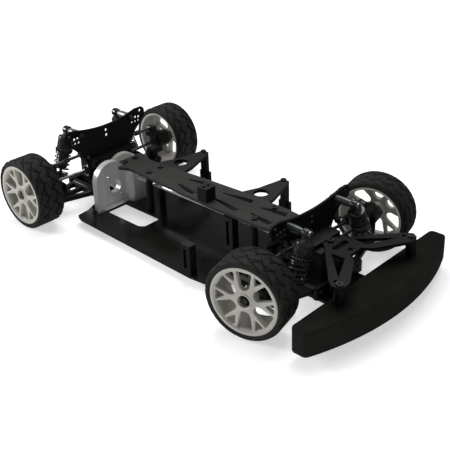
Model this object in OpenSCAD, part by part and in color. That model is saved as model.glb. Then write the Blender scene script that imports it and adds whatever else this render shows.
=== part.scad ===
// Bare rolling chassis of a shaft-driven four-wheel-drive drift car, about one tenth of full size.
// X points forward, Y to the left and Z up. The origin is on the ground below the middle of the car.

/* [Chassis] */
// Distance between the front and rear axles
wheelbase = 257; // [255:0.5:259]
// Height of the chassis plate's top face above the ground
plate_top_z = 8; // [7.5:0.1:8.5]
// Thickness of the chassis plate and of the upper deck
plate_t = 2.5; // [2:0.1:3]
// Height of the upper deck's top face
deck_top_z = 44; // [43.8:0.1:44.5]
// Greatest half width of the chassis plate
plate_half_w = 64.5; // [62:0.5:66]

/* [Wheels] */
// Outer radius of the tyres
tyre_r = 31.75; // [31.5:0.05:32]
// Width of the rims
rim_w = 25.2; // [24:0.1:25.6]
// Outer radius of the rims
rim_r = 26.9; // [26.5:0.1:27.2]
// Distance from the car's middle to the middle of a rear wheel
rear_wheel_y = 82; // [82:0.5:84]
// Distance from the car's middle to a kingpin
kingpin_y = 66.8; // [66.8:0.1:67.4]
// Angle of the front wheels at rest, to the left
steer_rest = 13.7; // [0:0.1:15]

/* [Drive] */
// Radius of the centre shaft
shaft_r = 2; // [1.8:0.05:2]
// Height of the centre shaft and of the differentials
shaft_z = 30; // [30:0.1:30.2]
// Number of teeth on the spur gear
spur_teeth = 66; // [60:1:66]

/* [Bumper] */
// Thickness of the foam bumper
foam_h = 20; // [18:0.5:22]
// Half width of the foam bumper
foam_half_w = 87.5; // [84:0.5:90]

/* [Hidden] */
$fn = 48;

// Placing: the middle of the car's length lies 22 mm ahead of the middle of the wheelbase
axle_shift = -22;
front_axle_x = wheelbase / 2 + axle_shift;
rear_axle_x = -wheelbase / 2 + axle_shift;
axle_z = tyre_r;
run_gap = 0.05;
plate_bottom_z = plate_top_z - plate_t;
deck_bottom_z = deck_top_z - plate_t;
screw_r = 1.5;

// Suspension, measured from an axle: u runs away from the car's middle, y outwards
arm_pin_y = 24;
arm_pin_z = 14;
pin_r = 1.5;
front_outer_y = 58;
rear_outer_y = 60;
outer_pin_z = 15;
tower_u = -9;
tower_t = 3;
link_inner_y = 25;
link_z = 47;
shock_u = 12;
body_hole_y = 42;
front_shock_top = [29, 62];
rear_shock_top = [29, 70];
front_shock_foot = [45, 20.5];
rear_shock_foot = [46, 20.5];
cup_r = 5.2;
cup_bore_r = 3.9;
ball_r = 1.9;
inner_ball_y = 18;
front_ball_y = 66.3;
rear_ball_y = 64.2;
hub_offset = 12;
bearing_r = 4.2;

// Motor mount
motor_y = -22;
motor_z = 27.2;
motor_screw_pcd = 25;
mount_x = -114;
mount_t = 6;

// Steering linkage
crank_x = 71;
crank_reach = 16;
drag_x = 87;
rack_shift = -17 * sin(steer_rest);
knuckle_arm = [-17, -4];

// ---------------------------------------------------------------- helpers

// Puts a front-left shape on any corner: the left side has side = 1, the front has end = 1
module at_corner(end, side) {
    translate([end > 0 ? front_axle_x : rear_axle_x, 0, 0])
        mirror([end > 0 ? 0 : 1, 0, 0])
            mirror([0, side > 0 ? 0 : 1, 0])
                children();
}

// A cylinder along X from u0 to u1
module rod_x(u0, u1, y, z, r) {
    translate([u0, y, z]) rotate([0, 90, 0]) cylinder(h = u1 - u0, r = r);
}

// A cylinder along Y from y0 to y1
module rod_y(y0, y1, u, z, r) {
    translate([u, y0, z]) rotate([-90, 0, 0]) cylinder(h = y1 - y0, r = r);
}

// A plate lying flat, from an outline
module flat_plate(z0, t) {
    translate([0, 0, z0]) linear_extrude(t) children();
}

// A plate standing across the car: the outline is drawn in Y and Z
module cross_plate(x0, t) {
    translate([x0, 0, 0]) rotate([90, 0, 90]) linear_extrude(t) children();
}

// A half outline (points from rear to front, y above zero) with its mirror image
module mirrored_outline(points) {
    polygon(concat(points, [for (i = [len(points) - 1:-1:0]) [points[i].x, -points[i].y]]));
}

// A slot with round ends
module slot(x0, y0, x1, y1, r) {
    length = norm([x1 - x0, y1 - y0]);
    translate([x0, y0]) circle(r);
    translate([x1, y1]) circle(r);
    translate([x0, y0]) rotate(atan2(y1 - y0, x1 - x0)) translate([0, -r]) square([length, 2 * r]);
}

// A button-head screw standing on z0 with its shank going down
module screw(x, y, z0, shank) {
    translate([x, y, z0]) difference() {
        union() {
            cylinder(h = 1.6, r = 2.8);
            translate([0, 0, -shank]) cylinder(h = shank + 0.5, r = screw_r);
        }
        translate([0, 0, 0.7]) cylinder(h = 2, r = 1.15, $fn = 6);
    }
}

// ---------------------------------------------------------------- chassis

deck_posts = [[-78, 7], [-78, -7], [52, 12], [52, -12]];
deck_screw_y = 6.5;
deck_post_r = 3;
foam_back_x = 151;
foam_front_x = 182.25;
brace_end = [159.6, 44.4];
bracket_x = [-76, 22];
bracket_post_y = 58.5;
bracket_t = 3;
bracket_hole_y = 30;
servo_face_x = 32;

module chassis_outline() {
    mirrored_outline([
        [-171, 0], [-171, 22], [-138, 22], [-127, 31], [-121, 45], [-119, 58],
        [-112, plate_half_w - 4], [30, plate_half_w], [50, plate_half_w - 2], [60, 54], [66, 34],
        [76, 24], [160, 24], [165, 18], [165, 0],
    ]);
}

module chassis_plate() {
    color([0.04, 0.04, 0.04]) difference() {
        flat_plate(plate_bottom_z, plate_t) chassis_outline();
        flat_plate(plate_bottom_z - 1, plate_t + 2) {
            translate([-106, -36.4]) square([42.5, 22.6]);
            translate([-63.5, -33.4]) square([6, 16.6]);
            translate([-63.5, -30.4]) circle(6);
            translate([-63.5, -19.8]) circle(6);
            for (p = deck_posts) translate(p) circle(screw_r);
        }
    }
}

module deck_outline() {
    mirrored_outline([
        [-117, 0], [-117, 18], [-108, 17], [-98, 12.5], [-80, 12.5], [-28, 16.5], [8, 18],
        [62, 18], [74, 16.5], [88, 16], [88, 0],
    ]);
}

module upper_deck() {
    color([0.22, 0.22, 0.21]) difference() {
        flat_plate(deck_bottom_z, plate_t) deck_outline();
        flat_plate(deck_bottom_z - 1, plate_t + 2) {
            for (side = [-1, 1]) {
                for (s = [[-42, -16], [0, 32], [42, 68]]) {
                    polygon([
                        [s[0], side * 6.2], [s[0] + 2, side * 5.2], [s[1], side * 6.8],
                        [s[1] - 2, side * 12.4], [s[1] - 12, side * 11],
                    ]);
                }
            }
            for (p = deck_posts) translate(p) circle(screw_r);
            for (y = [-1, 1]) translate([-111, deck_screw_y * y]) circle(screw_r);
            translate([-118, -20]) square([10.4, 10.2]);
        }
    }
}

module motor_mount() {
    arch_r = 17;
    arch_z = 34.6;
    color([0.66, 0.67, 0.68]) difference() {
        union() {
            cross_plate(mount_x, mount_t) {
                translate([-25.5, arch_z]) circle(arch_r);
                translate([-25.5 - arch_r, plate_top_z]) square([2 * arch_r, arch_z - plate_top_z]);
                translate([-12, plate_top_z]) square([22, deck_bottom_z - plate_top_z]);
            }
            translate([mount_x + mount_t, 0, plate_top_z]) intersection() {
                cylinder(h = deck_bottom_z - plate_top_z, r = 10);
                translate([-0.5, -9, 0]) cube([8, 18, deck_bottom_z - plate_top_z]);
            }
            translate([mount_x + mount_t - 0.5, -44.5, plate_top_z]) cube([2.5, 38, 3]);
        }
        rod_x(mount_x - 1, mount_x + mount_t + 1, motor_y, motor_z, 6.5);
        for (a = [123, 303]) {
            rod_x(mount_x - 1, mount_x + mount_t + 1, motor_y + motor_screw_pcd / 2 * cos(a),
                motor_z + motor_screw_pcd / 2 * sin(a), 1.6);
        }
        rod_x(mount_x - 1, mount_x + 16, 0, shaft_z, shaft_r + run_gap);
        for (y = [-1, 1]) {
            translate([-111, deck_screw_y * y, deck_bottom_z - 6]) cylinder(h = 7, r = screw_r);
        }
    }
}

module tower(top_z, ear_z, holes) {
    ear_y = 47;
    cross_plate(0, tower_t) difference() {
        polygon([
            [-24, 22], [-24, 38], [-29, 50], [-ear_y, ear_z - 9], [-ear_y, ear_z - 3],
            [-44, ear_z], [-38, ear_z], [-22, top_z], [22, top_z], [38, ear_z], [44, ear_z],
            [ear_y, ear_z - 3], [ear_y, ear_z - 9], [29, 50], [24, 38], [24, 22],
        ]);
        translate([-16.1, 0]) square([32.2, deck_top_z + 0.1]);
        for (side = [-1, 1]) {
            translate([side * holes[0], holes[1]]) circle(2);
            translate([side * link_inner_y, link_z]) circle(screw_r);
            translate([side * 19.5, 40]) circle(screw_r);
            for (k = [0:3]) translate([side * (31 + 3.4 * k), ear_z - 8 - 0.6 * k]) circle(1.1);
            translate([side * body_hole_y, ear_z - 3.4]) circle(screw_r);
        }
        for (k = [0:1]) translate([0, top_z - 5 - 5 * k]) circle(1.1);
    }
}

module shock_towers() {
    color([0.05, 0.05, 0.05]) {
        translate([front_axle_x + tower_u, 0, 0]) tower(63.5, 68, front_shock_top);
        translate([rear_axle_x - tower_u - tower_t, 0, 0]) tower(71, 76, rear_shock_top);
    }
}

// Gearbox housing: block, floor, hinge-pin lugs and tower lugs round the differential's chamber
module gearbox_housing() {
    color([0.07, 0.07, 0.07]) difference() {
        union() {
            translate([-16, -16, plate_top_z]) cube([24.5, 32, deck_top_z - plate_top_z]);
            translate([8, -16, plate_top_z]) cube([7, 32, 32.5]);
            translate([-21, -20, plate_top_z]) cube([42, 40, 2]);
            for (side = [-1, 1]) {
                for (u = [-21, 17.5]) {
                    translate([u, side > 0 ? 12 : -28, plate_top_z]) cube([3.5, 16, 10]);
                }
                translate([-14, side > 0 ? 15.5 : -23, 36]) cube([14 + tower_u, 7.5, 8]);
            }
        }
        rod_y(-11.5, 11.5, 0, shaft_z, 11);
        rod_y(-30, 30, 0, shaft_z, cup_r + run_gap);
        rod_x(-17, 0, 0, shaft_z, shaft_r + run_gap);
        for (side = [-1, 1]) rod_x(-22, 22, side * arm_pin_y, arm_pin_z, pin_r);
        for (side = [-1, 1]) rod_x(-16.5, tower_u + 1, side * 19.5, 40, screw_r);
        translate([11.5, 0, 35]) cylinder(h = 8, r = screw_r);
    }
}

module gearbox_housings() {
    translate([front_axle_x, 0, 0]) gearbox_housing();
    translate([rear_axle_x, 0, 0]) rotate([0, 0, 180]) gearbox_housing();
}

module bumper_foam() {
    nose_r = 224;
    color([0.17, 0.17, 0.15]) flat_plate(plate_top_z, foam_h) intersection() {
        translate([foam_front_x - nose_r, 0]) circle(nose_r, $fn = 360);
        translate([foam_back_x, -foam_half_w]) square([40, 2 * foam_half_w]);
    }
}

module bumper_brace() {
    color([0.1, 0.1, 0.1]) difference() {
        flat_plate(40.5, plate_t) difference() {
            mirrored_outline([
                [115.3, 0], [115.3, 6], [119, 9], [150, 44], [156, 49], [162, 48], [164, 43],
                [163, 37], [148, 12], [141, 7], [141, 0],
            ]);
            for (side = [-1, 1]) {
                polygon([[129, side * 14], [141, side * 13], [153, side * 37]]);
                translate([154.5, side * body_hole_y]) circle(screw_r);
            }
            slot(127, -6, 127, 6, 2.6);
            translate([136, 0]) circle(2);
        }
        for (p = [[118, 0], brace_end, [brace_end.x, -brace_end.y]]) {
            translate([p.x, p.y, 38]) cylinder(h = 8, r = screw_r);
        }
    }
}

// Posts under the deck and the brace, studs through the towers, inner hinge pins and screws
module posts_pins_and_screws() {
    post_top = plate_top_z + foam_h;
    color([0.55, 0.58, 0.56]) {
        for (p = deck_posts) {
            translate([p.x, p.y, plate_top_z]) cylinder(h = deck_bottom_z - plate_top_z, r = deck_post_r);
        }
        for (side = [-1, 1]) {
            translate([brace_end.x, side * brace_end.y, post_top]) cylinder(h = 40.5 - post_top, r = 4);
        }
        for (end = [-1, 1]) {
            shock_top = end > 0 ? front_shock_top : rear_shock_top;
            for (side = [-1, 1]) {
                at_corner(end, side) {
                    rod_x(tower_u - 2, shock_u + 4.4, shock_top[0], shock_top[1], 2);
                    rod_x(tower_u - 2, 2.6, link_inner_y, link_z, screw_r);
                    rod_x(tower_u + tower_t, tower_u + tower_t + 1.6, 19.5, 40, 2.6);
                    rod_x(-22, 22, arm_pin_y, arm_pin_z, pin_r);
                }
            }
        }
        translate([crank_x, 0, plate_top_z]) cylinder(h = 19.5, r = 2);
        for (p = deck_posts) screw(p.x, p.y, deck_top_z, 0);
        for (y = [-1, 1]) screw(-111, deck_screw_y * y, deck_top_z, 5);
        screw(118, 0, 43, 5);
        for (side = [-1, 1]) screw(brace_end.x, side * brace_end.y, 43, 2.5);
    }
}

// One hoop over the battery bay: a tapering tab with a round hole, and an outer post
module battery_bracket() {
    top = deck_bottom_z;
    flat_plate(top - bracket_t, bracket_t) difference() {
        polygon([
            [-17, 10.5], [-15, 19], [-8, 36], [-3.5, bracket_post_y + 4], [3.5, bracket_post_y + 4],
            [8, 50], [15, 30], [18, 10.5],
        ]);
        translate([0, bracket_hole_y]) circle(6.6);
    }
    translate([-3.5, bracket_post_y, plate_top_z]) cube([7, 4, top - plate_top_z - bracket_t + 0.2]);
    translate([-1.2, bracket_post_y + 2, top - 4]) cylinder(h = 5.2, r = 2.6);
    translate([-6, bracket_post_y + 0.8, plate_top_z]) cube([12, 3.2, 14]);
}

module battery_brackets() {
    color([0.09, 0.09, 0.09]) {
        for (x = bracket_x) translate([x, 0, 0]) battery_bracket();
    }
}

// Two posts for the steering servo, and the twin-hole block on the upper deck
module servo_mounts() {
    post_w = 7;
    color([0.08, 0.08, 0.08]) {
        for (post = [[-64.5, 26], [-16.5, 31]]) {
            translate([servo_face_x - 10, post[0], plate_top_z]) difference() {
                cube([10, post_w, post[1]]);
                translate([3, -1, 5]) cube([3, post_w + 2, post[1] - 9]);
                for (z = [13, 23]) rod_x(5, 11, post_w / 2, z, 1);
            }
        }
        translate([-6, -17, deck_top_z]) difference() {
            cube([10, 11, 12]);
            for (y = [3, 8]) translate([5, y, 4]) cylinder(h = 9, r = screw_r);
        }
    }
}

// ---------------------------------------------------------------- drive train

gear_x = -126;
gear_w = 4;

module centre_shaft() {
    color([0.8, 0.8, 0.8]) {
        rod_x(rear_axle_x + 8, front_axle_x - 8, 0, shaft_z, shaft_r);
        for (x = [rear_axle_x + 6.5, front_axle_x - 10.2]) rod_x(x, x + 3.7, 0, shaft_z, 3.5);
    }
}

module spur_gear() {
    pitch_r = spur_teeth * 25.4 / 48 / 2;
    tooth = 25.4 / 48;
    color([0.93, 0.93, 0.9]) translate([gear_x, 0, shaft_z]) rotate([90, 0, 90]) {
        difference() {
            linear_extrude(gear_w) {
                circle(pitch_r - tooth, $fn = 96);
                for (i = [0:spur_teeth - 1]) rotate(i * 360 / spur_teeth) polygon([
                    [pitch_r - 1.5 * tooth, -0.46], [pitch_r + tooth, -0.2],
                    [pitch_r + tooth, 0.2], [pitch_r - 1.5 * tooth, 0.46],
                ]);
            }
            translate([0, 0, -1]) cylinder(h = gear_w + 2, r = shaft_r);
            for (i = [0:5]) rotate(i * 60) translate([9.6, 0, -1]) cylinder(h = gear_w + 2, r = 2.6);
        }
    }
}

// Ring gear, case and the two outdrive cups
module differential() {
    color([0.45, 0.45, 0.45]) difference() {
        union() {
            rod_y(-9, 4, 0, shaft_z, 6);
            rod_y(4, 7, 0, shaft_z, 10.3);
            rod_y(-22, 22, 0, shaft_z, cup_r);
        }
        for (side = [-1, 1]) {
            rod_y(side > 0 ? 11.5 : -23, side > 0 ? 23 : -11.5, 0, shaft_z, cup_bore_r);
        }
    }
}

module front_differential() {
    translate([front_axle_x, 0, 0]) differential();
}

module rear_differential() {
    translate([rear_axle_x, 0, 0]) rotate([0, 0, 180]) differential();
}

// Dogbone between an outdrive cup and a wheel axle
module driveshaft(outer_y) {
    rise = axle_z - shaft_z;
    run = outer_y - inner_ball_y;
    length = norm([run, rise]);
    color([0.75, 0.75, 0.75]) translate([0, inner_ball_y, shaft_z]) rotate([atan2(rise, run), 0, 0]) {
        rod_y(0, length, 0, 0, 1.5);
        sphere(ball_r + 0.4);
        translate([0, length, 0]) sphere(ball_r);
    }
}

// ---------------------------------------------------------------- suspension

// Lower wishbone: inner barrel, two legs with an opening between them, and the outer fork
module arm(outer_y, foot) {
    color([0.06, 0.06, 0.06]) difference() {
        union() {
            rod_x(-16.6, 16.6, arm_pin_y, arm_pin_z, 3.5);
            translate([0, 0, 12]) linear_extrude(4) difference() {
                polygon([
                    [-16.6, arm_pin_y], [-16.6, arm_pin_y + 5], [-9, outer_y - 6], [-9, outer_y + 1],
                    [9, outer_y + 1], [9, outer_y - 6], [16.6, arm_pin_y + 5], [16.6, arm_pin_y],
                ]);
                polygon([
                    [-12, arm_pin_y + 6], [-6.5, outer_y - 11], [-1.5, outer_y - 11],
                    [-1.5, arm_pin_y + 6],
                ]);
                polygon([
                    [12, arm_pin_y + 6], [8.4, foot[0] - 6], [1.5, foot[0] - 6], [1.5, arm_pin_y + 6],
                ]);
            }
            for (u = [-9, 5.2]) rod_x(u, u + 3.8, outer_y, outer_pin_z, 3.8);
            translate([5.2, foot[0] - 4, 14]) cube([3.3, 8, foot[1] - 14]);
            rod_x(5.2, 8.5, foot[0], foot[1], 4);
            rod_x(8, 15.4, foot[0], foot[1], 1.5);
        }
        rod_x(-18, 18, arm_pin_y, arm_pin_z, pin_r + run_gap);
        rod_x(-10, 10, outer_y, outer_pin_z, pin_r + run_gap);
        translate([-5.2, outer_y - 4.6, 8]) cube([10.4, 12, 12]);
    }
}

module hinge_lug(outer_y) {
    rod_x(-4.8, 4.8, outer_y, outer_pin_z, 3.5);
    rod_x(-8.9, 8.9, outer_y, outer_pin_z, pin_r);
}

module link_stud(outer_y) {
    rod_x(-2.4, 3, outer_y, link_z, 1.5);
    translate([-5.4, outer_y - 3, 40]) cube([3, 6, link_z - 37.4]);
}

// Front C-shaped carrier: back web, upper and lower plates round the kingpin
module front_hub_carrier() {
    color([0.05, 0.05, 0.05]) difference() {
        union() {
            hinge_lug(front_outer_y);
            translate([-4.8, 55.5, 14]) cube([9.6, 3.5, 8]);
            translate([-6, 55.5, 20.5]) cube([12, 3.5, 23]);
            translate([-4.8, 55.5, 17.9]) cube([9.6, 11.3, 3.5]);
            translate([-6, 55.5, 40]) cube([12, 11.3, 3.5]);
            for (z = [17.9, 40]) translate([0, kingpin_y, z]) cylinder(h = 3.5, r = 4.8);
            link_stud(front_outer_y);
        }
        rod_y(50, 60, 0, axle_z, 5);
        for (z = [17, 39.5]) translate([0, kingpin_y, z]) cylinder(h = 5, r = 1.5 + run_gap);
    }
}

// Rear upright: one bearing boss with the lower lug and the upper link's stud
module rear_hub_carrier() {
    color([0.05, 0.05, 0.05]) difference() {
        union() {
            hinge_lug(rear_outer_y);
            rod_y(64.5, 77.5, 0, axle_z, 8);
            translate([-4.8, 57, 15]) cube([9.6, 6, 6]);
            translate([-4.8, 57, 20.5]) cube([9.6, 13, 4.5]);
            translate([-5.4, 57, 39]) cube([9.6, 11, 4]);
            translate([-5.4, 64.5, 32]) cube([9.6, 3.5, 11]);
            link_stud(rear_outer_y);
        }
        rod_y(50, 80, 0, axle_z, bearing_r + run_gap);
    }
}

// Everything that turns with a front wheel about its kingpin is drawn straight, then steered
module steered(side) {
    translate([front_axle_x, side * kingpin_y, 0]) rotate([0, 0, steer_rest])
        mirror([0, side > 0 ? 0 : 1, 0]) translate([0, -kingpin_y, 0]) children();
}

module knuckle() {
    color([0.06, 0.06, 0.06]) difference() {
        union() {
            translate([0, kingpin_y, 21.7]) cylinder(h = 18, r = 5);
            translate([0, kingpin_y, 18]) cylinder(h = 25.4, r = 1.5);
            rod_y(63, 75, 0, axle_z, 6.5);
            translate([0, kingpin_y, 28.4]) linear_extrude(3.2) {
                rotate(atan2(knuckle_arm.y, knuckle_arm.x)) translate([0, -2.2])
                    square([norm(knuckle_arm), 4.4]);
                translate(knuckle_arm) circle(3.2);
            }
        }
        rod_y(60, 80, 0, axle_z, bearing_r + run_gap);
    }
}

// Stub axle: cup for the driveshaft, journal, hexagon, thread and wheel nut, for a wheel at wheel_y
module axle(cup_y, wheel_y) {
    hub_y = wheel_y + 0.5;
    color([0.6, 0.6, 0.6]) difference() {
        union() {
            rod_y(cup_y, hub_y - 3.5, 0, axle_z, bearing_r);
            translate([0, hub_y - 4, axle_z]) rotate([-90, 0, 0]) cylinder(h = 4, r = 6.9, $fn = 6);
            rod_y(hub_y - 1, hub_y + 10, 0, axle_z, 2);
            translate([0, hub_y + 5, axle_z]) rotate([-90, 0, 0]) cylinder(h = 4, r = 3.9, $fn = 6);
        }
        rod_y(cup_y - 1, cup_y + 5.5, 0, axle_z, 3.3);
    }
}

// Open rim: barrel, six forked spokes and hub, for a wheel whose middle is at wheel_y
module rim(wheel_y) {
    hub_y = wheel_y + 0.5;
    face_t = 5;
    color([0.9, 0.89, 0.85]) translate([0, 0, axle_z]) rotate([-90, 0, 0]) {
        translate([0, 0, wheel_y]) rotate_extrude($fn = 96) polygon([
            [rim_r - 2.2, -rim_w / 2], [rim_r, -rim_w / 2], [rim_r, -rim_w / 2 + 1.6],
            [rim_r - 0.9, -rim_w / 2 + 2.4], [rim_r - 0.9, rim_w / 2 - 2.4],
            [rim_r, rim_w / 2 - 1.6], [rim_r, rim_w / 2], [rim_r - 3.4, rim_w / 2],
            [rim_r - 3.4, rim_w / 2 - face_t], [rim_r - 2.2, rim_w / 2 - face_t - 1.5],
        ]);
        translate([0, 0, wheel_y + rim_w / 2 - face_t]) linear_extrude(face_t - 0.6) difference() {
            circle(rim_r - 2.8, $fn = 96);
            for (i = [0:5]) rotate(i * 60) {
                translate([18.3, 0]) circle(5.6);
                translate([10.6, -3.6]) square([7, 7.2]);
                translate([11.2, 0]) circle(3.6);
            }
            circle(4.7);
        }
        translate([0, 0, hub_y]) difference() {
            cylinder(h = rim_w / 2 - 0.6 + wheel_y - hub_y, r = 6.5);
            translate([0, 0, -1]) cylinder(h = 20, r = 2);
            translate([0, 0, 5]) cylinder(h = 20, r = 4.7);
        }
    }
}

module tyre(wheel_y) {
    half = rim_w / 2 + 0.3;
    color([0.13, 0.13, 0.13]) translate([0, wheel_y, axle_z]) rotate([-90, 0, 0])
        rotate_extrude($fn = 96)
            polygon([
                [rim_r - 0.9, -rim_w / 2 + 2.4], [rim_r, -rim_w / 2 + 1.6], [rim_r, -half + 0.3],
                [rim_r + 1.6, -half], [tyre_r - 1.6, -half], [tyre_r - 0.4, -half + 1.6],
                [tyre_r, -half + 4.5], [tyre_r, half - 4.5], [tyre_r - 0.4, half - 1.6],
                [tyre_r - 1.6, half], [rim_r + 1.6, half], [rim_r, half - 0.3],
                [rim_r, rim_w / 2 - 1.6], [rim_r - 0.9, rim_w / 2 - 2.4],
            ]);
}

// ---------------------------------------------------------------- shock absorbers

// Puts a shape drawn hanging down from the origin along a shock's own axis
module along_shock(top, foot) {
    translate([shock_u, top[0], top[1]])
        rotate([atan2(foot[0] - top[0], top[1] - foot[1]), 0, 0]) children();
}

function shock_length(top, foot) = norm(foot - top);

// Eyelet, ribbed cap, oil cylinder and spring collar
module shock_body(top, foot) {
    length = shock_length(top, foot);
    color([0.07, 0.09, 0.09]) along_shock(top, foot) difference() {
        union() {
            rod_x(-2.9, 2.9, 0, 0, 3.8);
            translate([0, 0, -6]) cylinder(h = 4, r = 4);
            translate([0, 0, -17]) cylinder(h = 11.5, r = 7);
            translate([0, 0, -length + 17]) cylinder(h = length - 30, r = 5.6);
            translate([0, 0, -20.5]) cylinder(h = 3.6, r = 7.8);
        }
        rod_x(-4, 4, 0, 0, 2 + run_gap);
        translate([0, 0, -length + 10]) cylinder(h = length - 24, r = 1.5 + run_gap);
        translate([0, 0, -length + 19]) cylinder(h = length - 34, r = 4.4);
    }
}

// Piston rod with its piston, spring seat and lower eyelet
module shock_rod(top, foot) {
    length = shock_length(top, foot);
    color([0.5, 0.5, 0.5]) along_shock(top, foot) difference() {
        union() {
            translate([0, 0, -length + 3]) cylinder(h = length - 24, r = 1.5);
            translate([0, 0, -length + 20.4]) cylinder(h = 1.4, r = 4.2);
            translate([0, 0, -length + 4.2]) cylinder(h = 4, r = 3);
            translate([0, 0, -length + 7]) cylinder(h = 2, r = 7.4);
            translate([0, 0, -length]) rotate([0, 90, 0]) translate([0, 0, -2.9]) cylinder(h = 5.8, r = 3.8);
        }
        translate([0, 0, -length]) rotate([0, 90, 0]) translate([0, 0, -4]) cylinder(h = 8, r = 2.1);
    }
}

// The coil spring's outer shape, a plain sleeve between the collar and the lower seat
module spring(top, foot) {
    length = shock_length(top, foot);
    color([0.2, 0.2, 0.2]) along_shock(top, foot) difference() {
        translate([0, 0, -length + 9.1]) cylinder(h = length - 29.7, r = 7.6);
        translate([0, 0, -length + 8]) cylinder(h = length - 20, r = 6.1);
    }
}

// Turnbuckle between a tower stud and a hub carrier stud
module camber_link(outer_y) {
    color([0.5, 0.5, 0.5]) difference() {
        union() {
            rod_x(-1.9, 1.9, link_inner_y, link_z, 3);
            rod_x(-1.9, 1.9, outer_y, link_z, 3);
            rod_y(link_inner_y + 2, outer_y - 2, 0, link_z, 1.4);
            translate([0, (link_inner_y + outer_y) / 2 - 3, link_z]) rotate([-90, 0, 0])
                cylinder(h = 6, r = 2.4, $fn = 6);
        }
        rod_x(-3, 3, link_inner_y, link_z, 1.5 + run_gap);
        rod_x(-3, 3, outer_y, link_z, 2.1);
    }
}

// ---------------------------------------------------------------- steering

// Bellcrank on its post, below the centre shaft
module steering_crank() {
    turn = asin(rack_shift / crank_reach);
    color([0.08, 0.08, 0.08]) translate([crank_x, 0, 24.3]) rotate([0, 0, turn]) difference() {
        linear_extrude(3) {
            circle(5);
            slot(0, 0, crank_reach, 0, 2.6);
            slot(0, 0, 0, -14, 2.6);
        }
        translate([0, 0, -1]) cylinder(h = 5, r = 2 + run_gap);
    }
}

function steered_point(side) = [
    front_axle_x + knuckle_arm.x * cos(steer_rest) - side * knuckle_arm.y * sin(steer_rest),
    side * kingpin_y + knuckle_arm.x * sin(steer_rest) + side * knuckle_arm.y * cos(steer_rest),
];

module drag_link() {
    color([0.3, 0.3, 0.3])
        flat_plate(21, 3) translate([drag_x, rack_shift]) slot(0, -18, 0, 18, 2.8);
}

// Turnbuckle between the drag link and a knuckle's arm, with a cup at each end
module tie_rod(side) {
    inner = [drag_x, rack_shift + side * 16];
    outer = steered_point(side);
    run = outer - inner;
    color([0.3, 0.3, 0.3]) {
        for (p = [inner, outer]) translate([p.x, p.y, 24.4]) cylinder(h = 3.6, r = 2.9);
        translate([inner.x, inner.y, 26.2]) rotate([0, 0, atan2(run.y, run.x)]) rotate([0, 90, 0]) {
            cylinder(h = norm(run), r = 1.4);
            translate([0, 0, norm(run) / 2 - 3]) cylinder(h = 6, r = 2, $fn = 6);
        }
    }
}

// ---------------------------------------------------------------- corners

module front_left_arm() { at_corner(1, 1) arm(front_outer_y, front_shock_foot); }
module front_right_arm() { at_corner(1, -1) arm(front_outer_y, front_shock_foot); }
module rear_left_arm() { at_corner(-1, 1) arm(rear_outer_y, rear_shock_foot); }
module rear_right_arm() { at_corner(-1, -1) arm(rear_outer_y, rear_shock_foot); }

module front_left_hub_carrier() { at_corner(1, 1) front_hub_carrier(); }
module front_right_hub_carrier() { at_corner(1, -1) front_hub_carrier(); }
module rear_left_hub_carrier() { at_corner(-1, 1) rear_hub_carrier(); }
module rear_right_hub_carrier() { at_corner(-1, -1) rear_hub_carrier(); }

module front_left_tie_rod() { tie_rod(1); }
module front_right_tie_rod() { tie_rod(-1); }

module front_left_knuckle() { steered(1) knuckle(); }
module front_right_knuckle() { steered(-1) knuckle(); }

module front_left_rim() { steered(1) rim(kingpin_y + hub_offset); }
module front_right_rim() { steered(-1) rim(kingpin_y + hub_offset); }
module rear_left_rim() { at_corner(-1, 1) rim(rear_wheel_y); }
module rear_right_rim() { at_corner(-1, -1) rim(rear_wheel_y); }

module front_left_tyre() { steered(1) tyre(kingpin_y + hub_offset); }
module front_right_tyre() { steered(-1) tyre(kingpin_y + hub_offset); }
module rear_left_tyre() { at_corner(-1, 1) tyre(rear_wheel_y); }
module rear_right_tyre() { at_corner(-1, -1) tyre(rear_wheel_y); }

module front_left_axle() { steered(1) axle(64, kingpin_y + hub_offset); }
module front_right_axle() { steered(-1) axle(64, kingpin_y + hub_offset); }
module rear_left_axle() { at_corner(-1, 1) axle(62, rear_wheel_y); }
module rear_right_axle() { at_corner(-1, -1) axle(62, rear_wheel_y); }

module front_left_driveshaft() { at_corner(1, 1) driveshaft(front_ball_y); }
module front_right_driveshaft() { at_corner(1, -1) driveshaft(front_ball_y); }
module rear_left_driveshaft() { at_corner(-1, 1) driveshaft(rear_ball_y); }
module rear_right_driveshaft() { at_corner(-1, -1) driveshaft(rear_ball_y); }

module front_left_shock_body() { at_corner(1, 1) shock_body(front_shock_top, front_shock_foot); }
module front_right_shock_body() { at_corner(1, -1) shock_body(front_shock_top, front_shock_foot); }
module rear_left_shock_body() { at_corner(-1, 1) shock_body(rear_shock_top, rear_shock_foot); }
module rear_right_shock_body() { at_corner(-1, -1) shock_body(rear_shock_top, rear_shock_foot); }

module front_left_shock_rod() { at_corner(1, 1) shock_rod(front_shock_top, front_shock_foot); }
module front_right_shock_rod() { at_corner(1, -1) shock_rod(front_shock_top, front_shock_foot); }
module rear_left_shock_rod() { at_corner(-1, 1) shock_rod(rear_shock_top, rear_shock_foot); }
module rear_right_shock_rod() { at_corner(-1, -1) shock_rod(rear_shock_top, rear_shock_foot); }

module front_left_spring() { at_corner(1, 1) spring(front_shock_top, front_shock_foot); }
module front_right_spring() { at_corner(1, -1) spring(front_shock_top, front_shock_foot); }
module rear_left_spring() { at_corner(-1, 1) spring(rear_shock_top, rear_shock_foot); }
module rear_right_spring() { at_corner(-1, -1) spring(rear_shock_top, rear_shock_foot); }

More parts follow.
